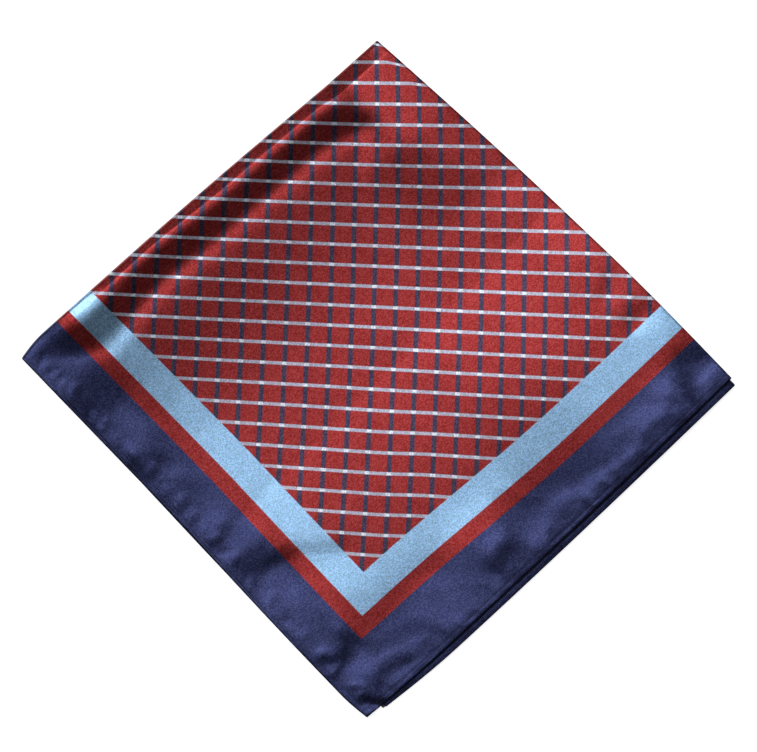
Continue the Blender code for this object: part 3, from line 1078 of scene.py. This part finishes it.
# The camera's frame
PHOTO_WIDTH_PX = 757
PHOTO_HEIGHT_PX = 752
PHOTO_ORIGIN_PX = (378.0, 378.5)
PHOTO_SCALE = 0.51 * MM
CAMERA_DISTANCE = 6.0
SEEN_HEIGHT = 4.5 * MM
SENSOR_WIDTH_MM = 36.0


def make_floor():
    """A plain pale floor, lit from within a little so that it stays an even white."""
    mesh = bpy.data.meshes.new("floor")
    half = FLOOR_SIZE / 2
    corners = [(-half, -half, 0), (half, -half, 0), (half, half, 0), (-half, half, 0)]
    mesh.from_pydata(corners, [], [(0, 1, 2, 3)])
    graph = Graph("floor")
    coordinates = graph.node("ShaderNodeTexCoord", {})
    grain = graph.noise(Field(graph, coordinates.outputs["Object"]), FLOOR_GRAIN_SCALE)
    colour = graph.scale_colour(FLOOR_GREY, grain * FLOOR_GRAIN + (1 - FLOOR_GRAIN / 2))
    mesh.materials.append(
        graph.finish(
            Base_Color=colour,
            Roughness=FLOOR_ROUGHNESS,
            Emission_Color=(1, 1, 1, 1),
            Emission_Strength=FLOOR_GLOW,
        )
    )
    floor = link_object("floor", mesh)


def aim(obj, direction):
    """Turns a light so that it shines along a direction."""
    obj.rotation_mode = "QUATERNION"
    obj.rotation_quaternion = direction.to_track_quat("-Z", "Y")


def make_area_light(name, place, size, power):
    """A square softbox that faces the middle of the cloth."""
    light = bpy.data.lights.new(name, "AREA")
    light.shape = "SQUARE"
    light.size = size
    light.energy = power
    obj = link_object(name, light)
    obj.location = place
    aim(obj, -obj.location)


def make_lights():
    """A softbox from the upper left and a weak one from the lower right."""
    direction = np.array(KEY_DIRECTION) / np.linalg.norm(KEY_DIRECTION)
    level = direction * math.sin(KEY_TILT) * KEY_DISTANCE
    place = (level[0], level[1], math.cos(KEY_TILT) * KEY_DISTANCE)
    make_area_light("key_softbox", place, KEY_SIZE, KEY_POWER)
    make_area_light("fill_softbox", FILL_PLACE, FILL_SIZE, FILL_POWER)


def make_surroundings():
    """A plain room, dim overhead and paler towards the horizon."""
    world = bpy.data.worlds.new("studio")
    world.use_nodes = True
    tree = world.node_tree
    direction = tree.nodes.new("ShaderNodeTexCoord")
    parts = tree.nodes.new("ShaderNodeSeparateXYZ")
    ramp = tree.nodes.new("ShaderNodeMapRange")
    ramp.interpolation_type = "SMOOTHSTEP"
    ramp.inputs["From Min"].default_value = HORIZON_FROM
    ramp.inputs["From Max"].default_value = HORIZON_TO
    ramp.inputs["To Min"].default_value = HORIZON_GREY
    ramp.inputs["To Max"].default_value = OVERHEAD_GREY
    background = tree.nodes["Background"]
    background.inputs["Color"].default_value = (1, 1, 1, 1)
    tree.links.new(direction.outputs["Generated"], parts.inputs["Vector"])
    tree.links.new(parts.outputs["Z"], ramp.inputs["Value"])
    tree.links.new(ramp.outputs["Result"], background.inputs["Strength"])
    bpy.context.scene.world = world


def make_camera():
    """A long lens straight above, framed so that each pixel covers its share of the floor."""
    camera = bpy.data.cameras.new("camera")
    camera.sensor_fit = "HORIZONTAL"
    camera.sensor_width = SENSOR_WIDTH_MM
    camera.lens = SENSOR_WIDTH_MM * CAMERA_DISTANCE / (PHOTO_WIDTH_PX * PHOTO_SCALE)
    obj = link_object("camera", camera)
    right = (PHOTO_WIDTH_PX / 2 - PHOTO_ORIGIN_PX[0]) * PHOTO_SCALE
    up = (PHOTO_ORIGIN_PX[1] - PHOTO_HEIGHT_PX / 2) * PHOTO_SCALE
    obj.location = (right, up, SEEN_HEIGHT + CAMERA_DISTANCE)
    bpy.context.scene.camera = obj


def main():
    scene = bpy.context.scene
    scene.view_settings.view_transform = "Standard"
    scene.view_settings.look = "None"
    make_camera()
    make_floor()
    make_lights()
    make_surroundings()

    cloth = make_cloth(printed_satin(), satin_back())
    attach(cloth, "root")
    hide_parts("folded_square")
    stitches = make_stitches(hem_thread())
    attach(stitches, "root")


main()
